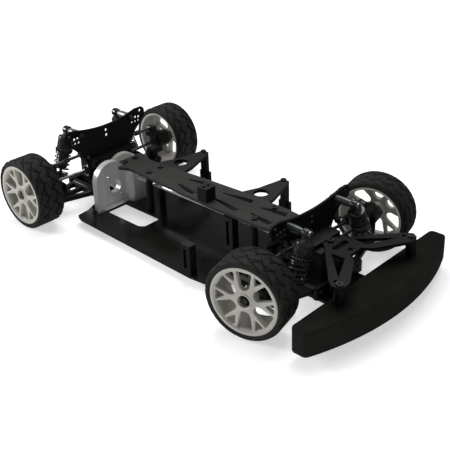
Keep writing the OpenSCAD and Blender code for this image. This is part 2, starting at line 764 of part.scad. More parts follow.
module front_left_camber_link() { at_corner(1, 1) camber_link(front_outer_y); }
module front_right_camber_link() { at_corner(1, -1) camber_link(front_outer_y); }
module rear_left_camber_link() { at_corner(-1, 1) camber_link(rear_outer_y); }
module rear_right_camber_link() { at_corner(-1, -1) camber_link(rear_outer_y); }

chassis_plate();
upper_deck();
motor_mount();
shock_towers();
gearbox_housings();
bumper_foam();
bumper_brace();
posts_pins_and_screws();
battery_brackets();
servo_mounts();
centre_shaft();
spur_gear();
front_differential();
rear_differential();
steering_crank();
drag_link();
front_left_tie_rod();
front_right_tie_rod();
front_left_arm();
front_right_arm();
rear_left_arm();
rear_right_arm();
front_left_hub_carrier();
front_right_hub_carrier();
rear_left_hub_carrier();
rear_right_hub_carrier();
front_left_knuckle();
front_right_knuckle();
front_left_rim();
front_right_rim();
rear_left_rim();
rear_right_rim();
front_left_tyre();
front_right_tyre();
rear_left_tyre();
rear_right_tyre();
front_left_axle();
front_right_axle();
rear_left_axle();
rear_right_axle();
front_left_driveshaft();
front_right_driveshaft();
rear_left_driveshaft();
rear_right_driveshaft();
front_left_shock_body();
front_right_shock_body();
rear_left_shock_body();
rear_right_shock_body();
front_left_shock_rod();
front_right_shock_rod();
rear_left_shock_rod();
rear_right_shock_rod();
front_left_spring();
front_right_spring();
rear_left_spring();
rear_right_spring();
front_left_camber_link();
front_right_camber_link();
rear_left_camber_link();
rear_right_camber_link();
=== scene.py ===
"""Looks of a bare drift car chassis: detailed wheels, tyres, shock absorbers, foam and finishes on
the CAD frame."""

import math

import bmesh
import bpy
import numpy as np
from bpy.props import FloatProperty, FloatVectorProperty, IntProperty, PointerProperty
from mathutils import Matrix, Vector
from mathutils.geometry import delaunay_2d_cdt


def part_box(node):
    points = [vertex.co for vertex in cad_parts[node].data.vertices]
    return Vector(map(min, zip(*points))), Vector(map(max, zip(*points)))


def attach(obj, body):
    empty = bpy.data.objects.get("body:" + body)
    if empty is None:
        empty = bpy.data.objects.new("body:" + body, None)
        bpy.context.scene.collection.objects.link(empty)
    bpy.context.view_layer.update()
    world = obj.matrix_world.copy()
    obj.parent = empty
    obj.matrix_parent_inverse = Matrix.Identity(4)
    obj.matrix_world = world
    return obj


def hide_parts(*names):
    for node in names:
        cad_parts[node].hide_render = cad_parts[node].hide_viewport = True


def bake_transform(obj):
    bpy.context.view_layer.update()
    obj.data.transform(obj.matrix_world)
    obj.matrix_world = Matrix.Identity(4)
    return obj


bl_info = {
    "name": "Drift car chassis finish",
    "version": (1, 0, 0),
    "blender": (4, 5, 0),
    "location": "3D view > Sidebar > Drift car",
    "description": "Builds tyres, rims, shock absorbers, foam and finishes on the packed chassis",
    "category": "Object",
}

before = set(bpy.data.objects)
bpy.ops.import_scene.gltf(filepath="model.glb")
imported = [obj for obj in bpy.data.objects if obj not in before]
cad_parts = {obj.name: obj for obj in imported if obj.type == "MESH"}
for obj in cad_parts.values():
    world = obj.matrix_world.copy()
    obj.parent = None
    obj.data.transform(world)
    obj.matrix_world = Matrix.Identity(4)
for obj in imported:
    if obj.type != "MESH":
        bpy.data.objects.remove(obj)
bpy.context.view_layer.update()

# A millimetre in metres: every shape is drawn in millimetres
MM = 0.001
# Which way each end and each side lies from the car's middle
ENDS = {"front": 1, "rear": -1}
SIDES = {"left": 1, "right": -1}
CORNERS = [(end, side) for end in ENDS for side in SIDES]

# Sizes of the CAD that the new pieces have to meet
STEER_REST = math.radians(13.7)
KINGPIN_Y = 66.8
FRONT_WHEEL_Y = 78.8
REAR_WHEEL_Y = 82.0
# How far a shock stands from its axle, away from the car's middle
SHOCK_U = 12.0
# Upper and lower eyelet of each end's shocks, as (y, z)
SHOCKS = {"front": ((29.0, 62.0), (45.0, 20.5)), "rear": ((29.0, 70.0), (46.0, 20.5))}
# Each tower's height in the middle and at its ears
TOWERS = {"front": (63.5, 68.0), "rear": (71.0, 76.0)}
TOWER_THICKNESS = 2.4

# The new pieces' own sizes
SPOKE_FRONT = 11.6
SPOKE_BACK = 6.5
SPOKE_OUTER = 24.6
SPOKE_INNER = 5.6
SPOKES = 6
COIL_RADIUS = 6.85
SEAT_UPPER = 20.1
SEAT_LOWER = 9.1
EYE_HALF = 2.8


def middle(node):
    """The middle of a node's box, in millimetres."""
    low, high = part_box(node)
    return np.array((low + high) / 2) / MM


AXLE_X = {"front": 106.5, "rear": float(middle("rear_left_tyre")[0])}
AXLE_Z = float(middle("rear_left_tyre")[2])


# -------- meshes


def grid(points, close_u=False, close_v=False):
    """A surface through points[u, v]: each cell of the grid is one quad, and a closed direction
    joins its last row to its first.
    """
    rows, columns = points.shape[:2]
    index = np.arange(rows * columns).reshape(rows, columns)
    if close_u:
        index = np.vstack([index, index[:1]])
    if close_v:
        index = np.hstack([index, index[:, :1]])
    cells = [index[:-1, :-1], index[1:, :-1], index[1:, 1:], index[:-1, 1:]]
    return points.reshape(-1, 3), np.stack(cells, -1).reshape(-1, 4)


def lathe(profile, steps=48):
    """A profile of (radius, height) pairs turned about the Z axis: x = r cos a, y = r sin a, z = h.
    """
    profile = np.asarray(profile, float)
    angle = np.linspace(0, 2 * np.pi, steps, endpoint=False)
    radius, height = profile[:, 0], profile[:, 1]
    points = np.stack(
        [
            np.outer(np.cos(angle), radius),
            np.outer(np.sin(angle), radius),
            np.broadcast_to(height, (steps, len(profile))),
        ],
        -1,
    )
    return grid(points, close_u=True)


def tube(path, radius, sides=10):
    """A round tube along a path: at each point a circle stands across the path's direction, in a
    frame that turns as little as possible about Z.
    """
    path = np.asarray(path, float)
    forward = np.gradient(path, axis=0)
    forward /= np.linalg.norm(forward, axis=1, keepdims=True)
    helper = np.where(np.abs(forward[:, 2:]) > 0.9, [[1.0, 0, 0]], [[0, 0, 1.0]])
    across = np.cross(forward, helper)
    across /= np.linalg.norm(across, axis=1, keepdims=True)
    up = np.cross(across, forward)
    angle = np.linspace(0, 2 * np.pi, sides, endpoint=False)
    ring = (
        across[:, None] * np.cos(angle)[None, :, None]
        + up[:, None] * np.sin(angle)[None, :, None]
    )
    size = np.broadcast_to(np.asarray(radius, float), (len(path),))
    body = path[:, None] + ring * size[:, None, None]
    closed = np.concatenate(
        [
            np.repeat(path[:1, None], sides, axis=1),
            body,
            np.repeat(path[-1:, None], sides, axis=1),
        ]
    )
    return grid(closed, close_v=True)


def hull_of_circles(circles, steps):
    """The outline round several circles (x, y, r): in each direction d it takes the circle whose
    c·d + r is largest, at c + r d.
    """
    circles = np.asarray(circles, float)
    angle = np.linspace(0, 2 * np.pi, steps, endpoint=False)
    direction = np.stack([np.cos(angle), np.sin(angle)], -1)
    reach = direction @ circles[:, :2].T + circles[:, 2]
    chosen = circles[reach.argmax(1)]
    return chosen[:, :2] + chosen[:, 2:] * direction, direction


def inside(points, loop):
    """Which points lie inside a closed loop: a ray towards +x crosses the loop an odd number of
    times.
    """
    x, y = points[:, None, 0], points[:, None, 1]
    ax, ay = loop[:, 0], loop[:, 1]
    bx, by = np.roll(ax, -1), np.roll(ay, -1)
    level = np.where(by == ay, 1e-12, by - ay)
    crossed = ((ay > y) != (by > y)) & (x < ax + (y - ay) * (bx - ax) / level)
    return crossed.sum(1) % 2 == 1


def cap(loops, height):
    """Triangles that fill the area inside the first loop and outside the others, each point at the
    height that height(x, y) gives.
    """
    points = [Vector(p) for loop in loops for p in loop]
    starts = np.cumsum([0] + [len(loop) for loop in loops])
    edges = [
        (int(a + i), int(a + (i + 1) % (b - a)))
        for a, b in zip(starts[:-1], starts[1:])
        for i in range(b - a)
    ]
    flat, _, faces, *_ = delaunay_2d_cdt(points, edges, [], 1, 1e-7)
    flat, faces = np.array([tuple(p) for p in flat]), np.array(faces)
    centre = flat[faces].mean(1)
    kept = inside(centre, loops[0])
    for loop in loops[1:]:
        kept &= ~inside(centre, loop)
    return np.column_stack([flat, height(flat[:, 0], flat[:, 1])]), faces[kept]


def outward(loop):
    """The unit normals of a closed loop, pointing out of it: each is square to the line between its
    point's neighbours.
    """
    ahead = np.roll(loop, -1, 0) - np.roll(loop, 1, 0)
    normal = np.stack([ahead[:, 1], -ahead[:, 0]], -1)
    after = np.roll(loop, -1, 0)
    area = (loop[:, 0] * after[:, 1] - loop[:, 1] * after[:, 0]).sum()
    return normal / np.linalg.norm(normal, axis=1, keepdims=True) * np.sign(area)


def circle(x, y, radius, steps=28):
    """A circle as a closed loop."""
    angle = np.linspace(0, 2 * np.pi, steps, endpoint=False)
    return np.stack([x + radius * np.cos(angle), y + radius * np.sin(angle)], -1)


def rounded(corners, steps=7):
    """A closed loop through corners (x, y, radius): each corner becomes an arc that touches both of
    its sides.
    """
    corners = np.asarray(corners, float)
    place, radius = corners[:, :2], corners[:, 2:]
    back, ahead = np.roll(place, 1, 0) - place, np.roll(place, -1, 0) - place
    back /= np.linalg.norm(back, axis=1, keepdims=True)
    ahead /= np.linalg.norm(ahead, axis=1, keepdims=True)
    half = np.arccos(np.clip((back * ahead).sum(1, keepdims=True), -1, 1)) / 2
    inwards = back + ahead
    inwards /= np.linalg.norm(inwards, axis=1, keepdims=True) + 1e-12
    centre = place + inwards * radius / np.sin(half)
    start = back * radius / np.tan(half) + place - centre
    end = ahead * radius / np.tan(half) + place - centre
    a0, a1 = np.arctan2(start[:, 1], start[:, 0]), np.arctan2(end[:, 1], end[:, 0])
    turn = (a1 - a0 + np.pi) % (2 * np.pi) - np.pi
    angle = a0[:, None] + turn[:, None] * np.linspace(0, 1, steps)
    arc = np.stack([np.cos(angle), np.sin(angle)], -1) * radius[:, None] + centre[:, None]
    return arc.reshape(-1, 2)


def plate(outline, holes, thickness, edge=0.3):
    """A flat plate from height 0 to thickness, with a small chamfer all round its outline and round
    each hole.
    """
    shapes, low, high = [], [], []
    for k, loop in enumerate([outline, *holes]):
        inset = outward(loop) * (edge if k else -edge)
        levels = ((1, 0), (0, edge), (0, thickness - edge), (1, thickness))
        rings = [
            np.column_stack([loop + share * inset, np.full(len(loop), z)]) for share, z in levels
        ]
        shapes.append(grid(np.stack(rings, 1), close_u=True))
        low.append(rings[0][:, :2])
        high.append(rings[-1][:, :2])
    shapes.append(cap(low, lambda x, y: np.zeros_like(x)))
    shapes.append(cap(high, lambda x, y: np.full_like(x, thickness)))
    return shapes


def button_screw(radius, height, steps=30):
    """A domed screw head standing at height 0, with a six-sided socket sunk into its top."""
    turn = np.linspace(0, np.pi / 2, 6)
    dome = np.stack(
        [radius * (0.55 + 0.45 * np.cos(turn)), height * (0.25 + 0.75 * np.sin(turn))], -1
    )
    angle = np.linspace(0, 2 * np.pi, steps, endpoint=False)
    ring = np.stack([np.cos(angle), np.sin(angle)], -1)
    six = 0.48 * radius * math.cos(math.pi / 6) / np.cos((angle % (np.pi / 3)) - np.pi / 6)
    rows = [np.column_stack([ring * radius, np.zeros(steps)])]
    rows += [np.column_stack([ring * r, np.full(steps, z)]) for r, z in dome]
    rows += [
        np.column_stack([ring * six[:, None], np.full(steps, z)]) for z in (height, 0.3 * height)
    ]
    rows.append(np.tile([0, 0, 0.3 * height], (steps, 1)))
    return grid(np.stack(rows, 1), close_u=True)


def moved(shape, matrix):
    """The same shape with every point put through a 3 by 4 matrix."""
    points, faces = shape
    return points @ matrix[:, :3].T + matrix[:, 3], faces


def at_corner(shape, end, side):
    """A shape drawn at the front left (u away from the car's middle, y outwards), put at one
    corner.
    """
    points, faces = shape
    matrix = np.diag([float(ENDS[end]), float(SIDES[side]), 1.0])
    return points @ matrix + [AXLE_X[end], 0, 0], faces


def at_wheel(shape, end, side):
    """A shape drawn about a wheel's own axis (x forward, y up, z outwards from the wheel's middle),
    put on one wheel.
    """
    points, faces = shape
    out = FRONT_WHEEL_Y - KINGPIN_Y if end == "front" else REAR_WHEEL_Y
    local = np.column_stack(
        [points[:, 0], (points[:, 2] + out) * SIDES[side], points[:, 1]]
    )
    turn = STEER_REST if end == "front" else 0.0
    c, s = math.cos(turn), math.sin(turn)
    steered = local @ np.array([[c, s, 0], [-s, c, 0], [0, 0, 1]])
    pivot = KINGPIN_Y * SIDES[side] if end == "front" else 0.0
    return steered + [AXLE_X[end], pivot, AXLE_Z], faces


def along_x(shape):
    """A shape drawn about Z, turned so that its height runs along X."""
    return moved(shape, np.array([[0, 0, 1.0, 0], [1.0, 0, 0, 0], [0, 1.0, 0, 0]]))


def shifted(shape, x, y, z):
    """A shape moved by x, y and z."""
    points, faces = shape
    return points + [x, y, z], faces


def piece(name, shapes, body, finish, replaces=(), crease=35):
    """Joins shapes given in millimetres into one object that rides on a body, if one is named:
    doubles are merged, faces turned outwards, and edges sharper than crease stay sharp.
    """
    starts = np.cumsum([0] + [len(points) for points, _ in shapes[:-1]])
    points = np.concatenate([points for points, _ in shapes]) * MM
    faces = [f + s for (_, f), s in zip(shapes, starts)]
    corners = np.concatenate([f.ravel() for f in faces]).astype(np.int32)
    sizes = np.concatenate([np.full(len(f), f.shape[1]) for f in faces])
    mesh = bpy.data.meshes.new(name)
    mesh.vertices.add(len(points))
    mesh.vertices.foreach_set("co", points.astype(np.float32).ravel())
    mesh.loops.add(len(corners))
    mesh.loops.foreach_set("vertex_index", corners)
    mesh.polygons.add(len(sizes))
    mesh.polygons.foreach_set(
        "loop_start", (np.cumsum(sizes) - sizes).astype(np.int32)
    )
    mesh.update(calc_edges=True)
    work = bmesh.new()
    work.from_mesh(mesh)
    bmesh.ops.remove_doubles(work, verts=work.verts, dist=2e-6)
    bmesh.ops.recalc_face_normals(work, faces=work.faces)
    work.to_mesh(mesh)
    work.free()
    mesh.polygons.foreach_set("use_smooth", np.ones(len(mesh.polygons), bool))
    mesh.set_sharp_from_angle(angle=math.radians(crease))
    made = bpy.data.objects.new(name, mesh)
    bpy.context.scene.collection.objects.link(made)
    made.data.materials.append(finish)
    if body:
        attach(made, body)
    if replaces:
        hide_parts(*replaces)
    return made


# -------- finishes


def finish(
    name,
    dark,
    light,
    roughness=(0.5, 0.6),
    metallic=0.0,
    specular=0.5,
    blotch=60.0,
    grain=900.0,
    bump=0.12,
    stretch=(1.0, 1.0, 1.0),
    coat=0.0,
):
    """A finish from three noises on object coordinates: a broad one shifts the colour from dark to
    light, a middle one the roughness, and a fine one the relief.
    """
    made = bpy.data.materials.get(name)
    if made:
        return made
    made = bpy.data.materials.new(name)
    made.use_nodes = True
    tree = made.node_tree
    shader = tree.nodes["Principled BSDF"]
    where = tree.nodes.new("ShaderNodeTexCoord")
    place = tree.nodes.new("ShaderNodeMapping")
    place.inputs["Scale"].default_value = stretch
    tree.links.new(where.outputs["Object"], place.inputs["Vector"])

    def noise(scale, detail):
        made_noise = tree.nodes.new("ShaderNodeTexNoise")
        made_noise.inputs["Scale"].default_value = scale
        made_noise.inputs["Detail"].default_value = detail
        tree.links.new(place.outputs["Vector"], made_noise.inputs["Vector"])
        return made_noise.outputs["Fac"]

    ramp = tree.nodes.new("ShaderNodeValToRGB")
    ramp.color_ramp.elements[0].position = 0.35
    ramp.color_ramp.elements[1].position = 0.68
    ramp.color_ramp.elements[0].color = (*dark, 1)
    ramp.color_ramp.elements[1].color = (*light, 1)
    tree.links.new(noise(blotch, 4), ramp.inputs["Fac"])
    tree.links.new(ramp.outputs["Color"], shader.inputs["Base Color"])
    rough = tree.nodes.new("ShaderNodeMapRange")
    rough.inputs["From Min"].default_value = 0.3
    rough.inputs["From Max"].default_value = 0.7
    rough.inputs["To Min"].default_value = roughness[0]
    rough.inputs["To Max"].default_value = roughness[1]
    tree.links.new(noise(blotch * 4, 5), rough.inputs["Value"])
    tree.links.new(rough.outputs["Result"], shader.inputs["Roughness"])
    relief = tree.nodes.new("ShaderNodeBump")
    relief.inputs["Strength"].default_value = bump
    relief.inputs["Distance"].default_value = 0.00005
    tree.links.new(noise(grain, 3), relief.inputs["Height"])
    tree.links.new(relief.outputs["Normal"], shader.inputs["Normal"])
    shader.inputs["Metallic"].default_value = metallic
    shader.inputs["Specular IOR Level"].default_value = specular
    shader.inputs["Coat Weight"].default_value = coat
    shader.inputs["Coat Roughness"].default_value = 0.15
    return made


def around(colour, spread):
    """A darker and a lighter colour around the given one."""
    base = np.array(colour[:3])
    return tuple(base * (1 - spread)), tuple(np.minimum(base * (1 + spread), 1))


def foam_finish(colour):
    """Closed-cell foam: small cells make the relief, and a broad noise mottles the charcoal colour.
    """
    made = finish(
        "bumper_foam_charcoal", *around(colour, 0.16), (0.85, 0.98), specular=0.08, blotch=35,
        bump=0.5
    )
    tree = made.node_tree
    if "cells" in tree.nodes:
        return made
    cells = tree.nodes.new("ShaderNodeTexVoronoi")
    cells.name = "cells"
    cells.inputs["Scale"].default_value = 1300
    where = next(n for n in tree.nodes if n.type == "MAPPING")
    relief = next(n for n in tree.nodes if n.type == "BUMP")
    tree.links.new(where.outputs["Vector"], cells.inputs["Vector"])
    tree.links.new(cells.outputs["Distance"], relief.inputs["Height"])
    relief.inputs["Distance"].default_value = 0.00025
    return made


def cad_finish(made, *nodes):
    """Gives CAD nodes a finish in their own material slots."""
    for name in nodes:
        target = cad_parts[name]
        target.data.materials.clear()
        target.data.materials.append(made)


def palette():
    """The named colours of the panel."""
    return bpy.context.scene.drift_car_colours


def sizes():
    """The named sizes of the panel."""
    return bpy.context.scene.drift_car_sizes


def black_nylon():
    """Moulded black nylon, slightly glossy."""
    return finish("black_nylon", *around(palette().nylon, 0.3), (0.34, 0.5), specular=0.4, bump=0.2)


def black_plate():
    """Black composite plate, with a satin face."""
    return finish(
        "black_plate", *around(palette().plate, 0.2), (0.42, 0.52), specular=0.18, bump=0.12
    )


def dark_alloy():
    """Dark anodised alloy, half glossy."""
    return finish(
        "smoky_alloy", *around(palette().alloy, 0.2), (0.22, 0.34), metallic=0.6, blotch=90,
        stretch=(1, 1, 6)
    )


def bright_steel():
    """Bare turned steel."""
    return finish(
        "bright_steel", (0.42, 0.42, 0.43), (0.62, 0.62, 0.63), (0.22, 0.34), metallic=1,
        stretch=(1, 1, 8)
    )


# -------- settings


class DriftCarSizes(bpy.types.PropertyGroup):
    """Sizes that shape the new pieces, in millimetres."""

    tyre_radius: FloatProperty(
        name="Tyre radius",
        description="Outer radius of the tread",
        default=31.75, min=30, max=32,
    )
    tyre_half_width: FloatProperty(
        name="Tyre half width",
        description="Half of the tyre's width",
        default=12.85, min=11, max=12.9,
    )
    groove_depth: FloatProperty(
        name="Groove depth", description="Depth of the tread grooves", default=0.85, min=0, max=1.5
    )
    tread_pitches: IntProperty(
        name="Tread pitches",
        description="Lateral grooves round one shoulder",
        default=17, min=8, max=40,
    )
    spoke_bevel: FloatProperty(
        name="Spoke rounding",
        description="Radius along the edges of the spokes",
        default=0.7, min=0.3, max=0.8,
    )
    coil_wire: FloatProperty(
        name="Spring wire", description="Radius of the spring wire", default=0.62, min=0.4, max=0.9
    )
    foam_rounding: FloatProperty(
        name="Foam rounding",
        description="Radius along the foam's edges",
        default=1.1, min=0.3, max=3,
    )


def colour(name, description, default):
    """A colour property."""
    return FloatVectorProperty(
        name=name, description=description, default=default, subtype="COLOR", size=3, min=0, max=1
    )


class DriftCarColours(bpy.types.PropertyGroup):
    """Colours of the finishes."""

    deck: colour("Deck", "Matte upper deck", (0.036, 0.038, 0.034))
    plate: colour("Plate", "Black composite plates", (0.0055, 0.006, 0.005))
    chassis: colour("Chassis", "Glossy chassis plate", (0.0075, 0.008, 0.0065))
    nylon: colour("Nylon", "Moulded black parts", (0.005, 0.005, 0.005))
    rubber: colour("Rubber", "Tyres", (0.021, 0.022, 0.02))
    wheel: colour("Wheel", "Moulded rims", (0.50, 0.485, 0.445))
    foam: colour("Foam", "Bumper foam", (0.0135, 0.0145, 0.012))
    alloy: colour("Alloy", "Dark anodised parts", (0.06, 0.075, 0.07))
    mount: colour("Mount", "Motor mount", (0.74, 0.74, 0.75))
    gear: colour("Gear", "Spur gear", (0.78, 0.78, 0.74))


# -------- wheels


def tyre_section(radius, half):
    """The tyre's closed cross-section as (radius, height, arc length across the tread, groove
    weight): bead, bulging wall, round shoulder, flat tread, and back.
    """
    shoulder, bead = 3.0, 26.5
    wall_steps, tread_steps, off_tread = 6, 56, 99
    wall = np.linspace(0, 1, wall_steps, endpoint=False)
    wall_r = bead + (radius - shoulder - bead) * wall
    wall_h = half - 0.5 * (1 - wall) ** 2
    turn = np.linspace(0, np.pi / 2, 9)
    turn_r = radius - shoulder + shoulder * np.sin(turn)
    turn_h = half - shoulder + shoulder * np.cos(turn)
    edge = half - shoulder
    tread_h = np.linspace(edge, -edge, tread_steps + 2)[1:-1]
    tread_r = np.full(tread_steps, radius)
    r = np.concatenate([wall_r, turn_r, tread_r, turn_r[::-1], wall_r[::-1]])
    h = np.concatenate([wall_h, turn_h, tread_h, -turn_h[::-1], -wall_h[::-1]])
    over_shoulder = edge + shoulder * (np.pi / 2 - turn)
    arc = np.concatenate([np.full(wall_steps, off_tread), over_shoulder])
    across = np.concatenate([arc, tread_h, -arc[::-1]])
    weight = np.clip((r - radius + 2.6) / 1.4, 0, 1)
    return r, h, across, weight


def tread_cut(angle, across, pitches, radius):
    """How deep the tread is cut, 0 to 1: swept grooves run from a zigzag line out over each
    shoulder, and each side's are half a pitch apart from the other's.
    """
    pitch = 2 * np.pi * radius / pitches
    along = angle * radius
    out = np.abs(across)
    stagger = np.where(across > 0, 0.0, 0.5) * pitch

    def line(position, spacing, slope, width):
        """How deep a row of slanting grooves is cut where its lines stand spacing apart."""
        distance = np.abs((position / spacing) % 1 - 0.5) * spacing / np.sqrt(1 + slope**2)
        return np.clip(1.3 - distance / width * 1.3, 0, 1)

    sweep = 0.075 * out**2
    main = line(along + stagger + sweep + 0.35 * out, pitch, 0.35 + 0.15 * out, 0.62)
    main *= out > 0.8
    back = line(along + stagger + 0.4 * pitch - 1.05 * out, pitch, np.full_like(out, 1.05), 0.5)
    back *= (out > 4.6) & (out < 9.6)
    wave = np.abs(((along + stagger) / pitch) % 1 - 0.5) * 2
    zigzag = np.clip(1.3 - np.abs(out - 3.6 - 1.8 * wave) / 0.55 * 1.3, 0, 1)
    return np.maximum.reduce([main, back, zigzag])


def tyre_shape():
    """A tyre about Z: the cross-section turned once round, pushed inwards where the tread is cut.
    """
    s = sizes()
    r, h, across, weight = tyre_section(s.tyre_radius, s.tyre_half_width)
    angle = np.linspace(0, 2 * np.pi, 640, endpoint=False)[:, None]
    depth = tread_cut(
        angle, across[None, :], s.tread_pitches, s.tyre_radius
    ) * weight * s.groove_depth
    radius = r[None, :] - depth
    points = np.stack(
        [radius * np.cos(angle), radius * np.sin(angle), np.broadcast_to(h, radius.shape)], -1
    )
    return grid(points, close_u=True, close_v=True), np.clip(
        depth / max(s.groove_depth, 0.01), 0, 1
    )


def rubber_finish(colour):
    """Rubber with painted shade down in the cut tread: the mesh's own cut attribute mixes the
    colour towards black where the grooves lie.
    """
    made = finish(
        "matte_tyre_rubber", *around(colour, 0.25), (0.62, 0.8), specular=0.2, blotch=45, bump=0.3
    )
    tree = made.node_tree
    if "cut" in tree.nodes:
        return made
    cut = tree.nodes.new("ShaderNodeAttribute")
    cut.name = "cut"
    cut.attribute_name = "cut"
    # Painted shade: the deeper the cut, the nearer the colour goes to black
    painted_groove_shade = tree.nodes.new("ShaderNodeMix")
    painted_groove_shade.data_type = "RGBA"
    painted_groove_shade.inputs["B"].default_value = (0.0012, 0.0012, 0.0012, 1)
    ramp = next(n for n in tree.nodes if n.type == "VALTORGB")
    tree.links.new(cut.outputs["Fac"], painted_groove_shade.inputs["Factor"])
    tree.links.new(ramp.outputs["Color"], painted_groove_shade.inputs["A"])
    tree.links.new(painted_groove_shade.outputs["Result"], tree.nodes["Principled BSDF"].inputs["Base Color"])
    return made


class DRIFTCAR_OT_tyres(bpy.types.Operator):
    """Build the four grooved tyres"""

    bl_idname = "driftcar.tyres"
    bl_label = "Tyres"

    def execute(self, context):
        shape, cut = tyre_shape()
        for end, side in CORNERS:
            name = f"{end}_{side}"
            made = piece(
                f"{name}_grooved_tyre",
                [at_wheel(shape, end, side)],
                f"{name}_wheel",
                rubber_finish(palette().rubber),
                [f"{name}_tyre"],
                crease=50,
            )
            # The cut attribute is the grooves' depth, and rubber_finish turns it into painted shade
            # in the grooves
            depth = made.data.attributes.new("cut", "FLOAT", "POINT")
            depth.data.foreach_set("value", cut.astype(np.float32).ravel())
        return {"FINISHED"}


def rim_windows():
    """Outlines of the openings: six wide ones between the spokes, six small ones inside the forks,
    each the hull of a few circles with its rim side bowed out.
    """
    wide, wide_d = hull_of_circles([(12.6, 0, 4.1), (21.6, 4.75, 1.25), (21.6, -4.75, 1.25)], 60)
    small, small_d = hull_of_circles([(17.2, 0, 0.7), (21.8, 2.6, 0.9), (21.8, -2.6, 0.9)], 40)
    found = []
    for outline, direction, offset in ((wide, wide_d, 30), (small, small_d, 0)):
        bow = np.clip((outline[:, 0] - 19) / 3, 0, 1) * 0.7 * (1 - (outline[:, 1] / 6) ** 2)
        outline = outline + np.stack([bow, 0 * bow], -1)
        for k in range(SPOKES):
            a = math.radians(offset + 360 / SPOKES * k)
            turn = np.array([[math.cos(a), math.sin(a)], [-math.sin(a), math.cos(a)]])
            found.append((outline @ turn, direction @ turn))
    return found


def spoke_height(x, y):
    """Height of the spokes' front: level with the hub, dished a little halfway out."""
    r = np.hypot(x, y)
    return SPOKE_FRONT - np.sin(np.clip((r - 5) / 18.5, 0, 1) * np.pi)


def spoke_disc(bevel):
    """The forked spokes: a disc with the openings cut out, whose walls turn over in a quarter
    circle at the front and go straight back 5 mm.
    """
    outer_angle = np.linspace(0, 2 * np.pi, 144, endpoint=False)
    outer = SPOKE_OUTER * np.stack([np.cos(outer_angle), np.sin(outer_angle)], -1)
    inner = SPOKE_INNER * np.stack([np.cos(outer_angle[::3]), np.sin(outer_angle[::3])], -1)
    windows = rim_windows()
    turn = np.linspace(0, np.pi / 2, 7)
    outwards = np.append(bevel * (1 - np.sin(turn)), [0, 0.4])
    down = np.append(bevel * (1 - np.cos(turn)), [4.0, 4.6])
    shapes = []
    front, back = [outer, inner], [outer, inner]
    for outline, direction in windows:
        ring = outline[:, None] + direction[:, None] * outwards[None, :, None]
        base = spoke_height(ring[:, :1, 0], ring[:, :1, 1])
        z = np.where(np.arange(len(down)) < len(turn), base - down, SPOKE_BACK + down[-1] - down)
        shapes.append(grid(np.dstack([ring, z]), close_u=True))
        front.append(ring[:, 0])
        back.append(ring[:, -1])
    shapes.append(cap(front, spoke_height))
    shapes.append(cap(back, lambda x, y: np.full_like(x, SPOKE_BACK)))
    for loop in (outer, inner):
        top = np.column_stack([loop, spoke_height(loop[:, 0], loop[:, 1])])
        low = np.column_stack([loop, np.full(len(loop), SPOKE_BACK)])
        shapes.append(grid(np.stack([top, low], 1), close_u=True))
    return shapes


def rim_barrel():
    """The rim's barrel: a closed profile turned about the axle, with a rolled lip at each edge and
    a stepped inside.
    """
    return lathe(
        [
            (26.1, -12.2), (26.7, -12.55), (25.2, -12.6), (24.6, -12.1), (24.5, -4), (24.1, -3.4),
            (24.3, 3), (24.1, 4.2), (24.0, 5.4), (24.0, 11.6), (24.2, 12.2), (24.7, 12.45),
            (26.4, 12.6), (26.8, 12.4), (26.9, 11.6), (26.1, 10.8), (26.0, -11), (26.1, -12.2),
        ],
        144,
    )


def rim_hub():
    """The hub: a closed profile turned about the axle, with a deep round recess for the nut."""
    return lathe(
        [
            (2.3, 0.6), (6.2, 0.6), (6.6, 4), (6.5, 11.3), (6.1, 11.9), (5.2, 12.0), (4.75, 11.6),
            (4.6, 5.6), (2.3, 5.6), (2.3, 0.6),
        ],
        72,
    )


def wheel_nut():
    """The nut in the hub's recess: six-sided, with a chamfered top, a flange below it and the
    axle's end inside.
    """
    angle = np.linspace(0, 2 * np.pi, 60, endpoint=False)
    ring = np.stack([np.cos(angle), np.sin(angle)], -1)
    flat = 3.4 / np.cos((angle + np.pi / 6) % (np.pi / 3) - np.pi / 6)
    # Each row is a radius, the share of the six-sided radius to add, and a height
    flange = [(4.4, 0, 5.65), (4.4, 0, 6.4), (3.9, 0, 6.7)]
    six = [(0, 1, 6.7), (0, 1, 9.3), (0, 0.9, 9.9)]
    hole = [(2.2, 0, 9.9), (2.0, 0, 9.2)]
    rounded_six = np.minimum(flat, 3.85)
    points = [
        np.column_stack([ring * (r + share * rounded_six)[:, None], np.full(len(ring), z)])
        for r, share, z in flange + six + hole
    ]
    return grid(np.stack(points, 1), close_u=True)


class DRIFTCAR_OT_rims(bpy.types.Operator):
    """Build the four rims with forked spokes"""

    bl_idname = "driftcar.rims"
    bl_label = "Rims"

    def execute(self, context):
        plastic = finish(
            "moulded_rim_plastic", *around(palette().wheel, 0.05), (0.36, 0.46), blotch=30,
            grain=600, bump=0.05
        )
        shapes = [rim_barrel(), rim_hub(), *spoke_disc(sizes().spoke_bevel)]
        for end, side in CORNERS:
            name = f"{end}_{side}"
            piece(
                f"{name}_spoked_rim",
                [at_wheel(shape, end, side) for shape in shapes],
                f"{name}_wheel",
                plastic,
                [f"{name}_rim"],
                crease=40,
            )
            nut = [at_wheel(wheel_nut(), end, side)]
            piece(
                f"{name}_wheel_nut", nut, f"{name}_wheel", black_nylon(), (),
                crease=30,
            )
        return {"FINISHED"}


# -------- shock absorbers


def on_shock(shape, end):
    """A shape drawn about Z with the top eyelet at the origin and hanging down, put along one
    shock's axis.
    """
    top, foot = SHOCKS[end]
    lean = math.atan2(foot[0] - top[0], top[1] - foot[1])
    c, s = math.cos(lean), math.sin(lean)
    matrix = np.array([[1, 0, 0, SHOCK_U], [0, c, -s, top[0]], [0, s, c, top[1]]])
    return moved(shape, matrix)


def shock_length(end):
    """Distance between a shock's two eyelets."""
    top, foot = SHOCKS[end]
    return math.hypot(top[0] - foot[0], top[1] - foot[1])


